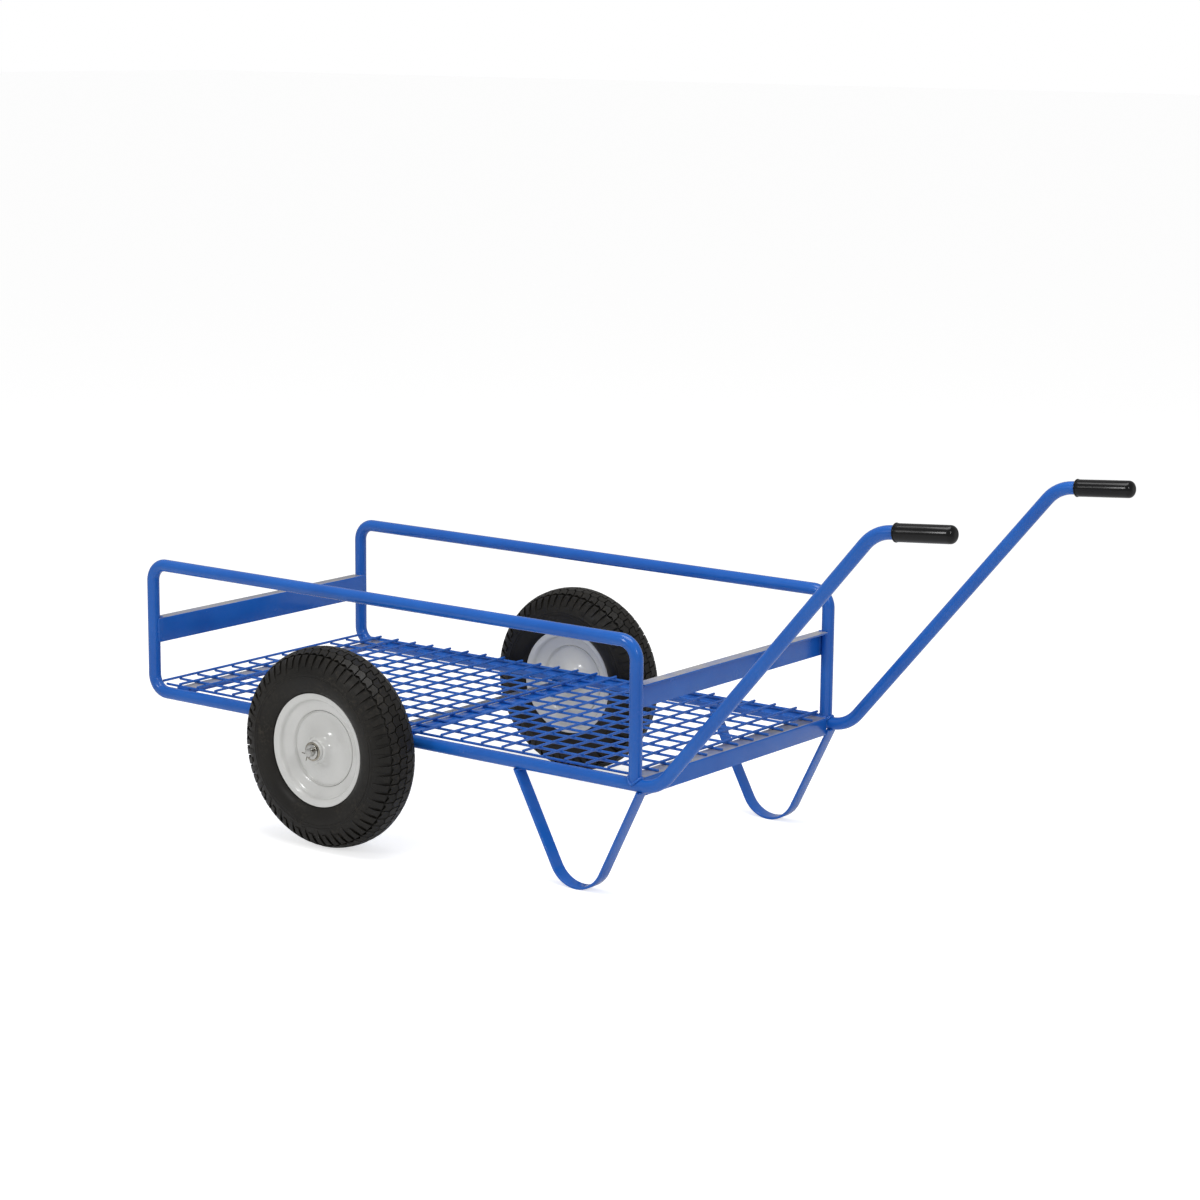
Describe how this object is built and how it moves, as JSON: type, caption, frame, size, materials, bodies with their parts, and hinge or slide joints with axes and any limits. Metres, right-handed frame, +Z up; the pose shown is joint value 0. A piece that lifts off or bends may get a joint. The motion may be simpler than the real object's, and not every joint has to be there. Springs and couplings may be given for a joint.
{
  "type": "two-wheeled mesh-deck cart",
  "caption": "Steel hand cart with bent side tubes, welded mesh deck, V legs, long rear handles and pneumatic wheels on a straight axle.",
  "frame": {"origin": "centre of the whole object's footprint box, on the ground under the tyres and the V legs", "axes": "+X towards the handles, +Z up, and +Y the far side in a view from the rear left; seen from above +Y is to the left of the +X direction"},
  "size_m": [1.9277, 0.9306, 0.7805],
  "materials": {
    "blue_paint": "gloss powder coat",
    "white_paint": "gloss enamel",
    "tyre_rubber": "satin moulded rubber",
    "tube_rubber": "matt",
    "grip_vinyl": "gloss dipped vinyl",
    "zinc_steel": "bright zinc plate",
    "bearing_steel": "bright pressed steel",
    "cap_plastic": "matt moulded"
  },
  "bodies": {
    "cart_frame": {"side_tube_left": "blue_paint", "side_tube_right": "blue_paint", "front_upper_bar": "blue_paint", "rear_upper_bar": "blue_paint", "deck_front_angle": "blue_paint", "deck_middle_bar": "blue_paint", "deck_rear_angle": "blue_paint", "deck_long_wires": "blue_paint", "deck_cross_wires": "blue_paint", "leg_left": "blue_paint", "leg_right": "blue_paint", "axle": "zinc_steel", "grip_left": "grip_vinyl", "grip_right": "grip_vinyl", "inner_spacer_left": "zinc_steel", "inner_spacer_right": "zinc_steel", "outer_washer_left": "zinc_steel", "outer_washer_right": "zinc_steel", "cotter_pin_left": "zinc_steel", "cotter_pin_right": "zinc_steel", "outer_cone_left": "bearing_steel", "inner_cone_left": "bearing_steel", "outer_cone_right": "bearing_steel", "inner_cone_right": "bearing_steel"},
    "left_wheel": {"tyre_left": "tyre_rubber", "inner_tube_left": "tube_rubber", "valve_stem_left": "tube_rubber", "valve_cap_left": "cap_plastic", "rim_outer_half_left": "white_paint", "rim_inner_half_left": "white_paint", "outer_disc_left": "white_paint", "inner_disc_left": "white_paint", "hub_tube_left": "white_paint", "outer_cup_left": "bearing_steel", "inner_cup_left": "bearing_steel", "outer_balls_left": "bearing_steel", "inner_balls_left": "bearing_steel"},
    "right_wheel": {"tyre_right": "tyre_rubber", "inner_tube_right": "tube_rubber", "valve_stem_right": "tube_rubber", "valve_cap_right": "cap_plastic", "rim_outer_half_right": "white_paint", "rim_inner_half_right": "white_paint", "outer_disc_right": "white_paint", "inner_disc_right": "white_paint", "hub_tube_right": "white_paint", "outer_cup_right": "bearing_steel", "inner_cup_right": "bearing_steel", "outer_balls_right": "bearing_steel", "inner_balls_right": "bearing_steel"}
  },
  "joints": [
    {"name": "left_wheel_spin", "type": "hinge", "parent": "cart_frame", "child": "left_wheel", "pos_m": [-0.39113, -0.402, 0.201], "axis": [0, 1, 0], "continuous": true},
    {"name": "right_wheel_spin", "type": "hinge", "parent": "cart_frame", "child": "right_wheel", "pos_m": [-0.39113, 0.402, 0.201], "axis": [0, 1, 0], "continuous": true}
  ]
}
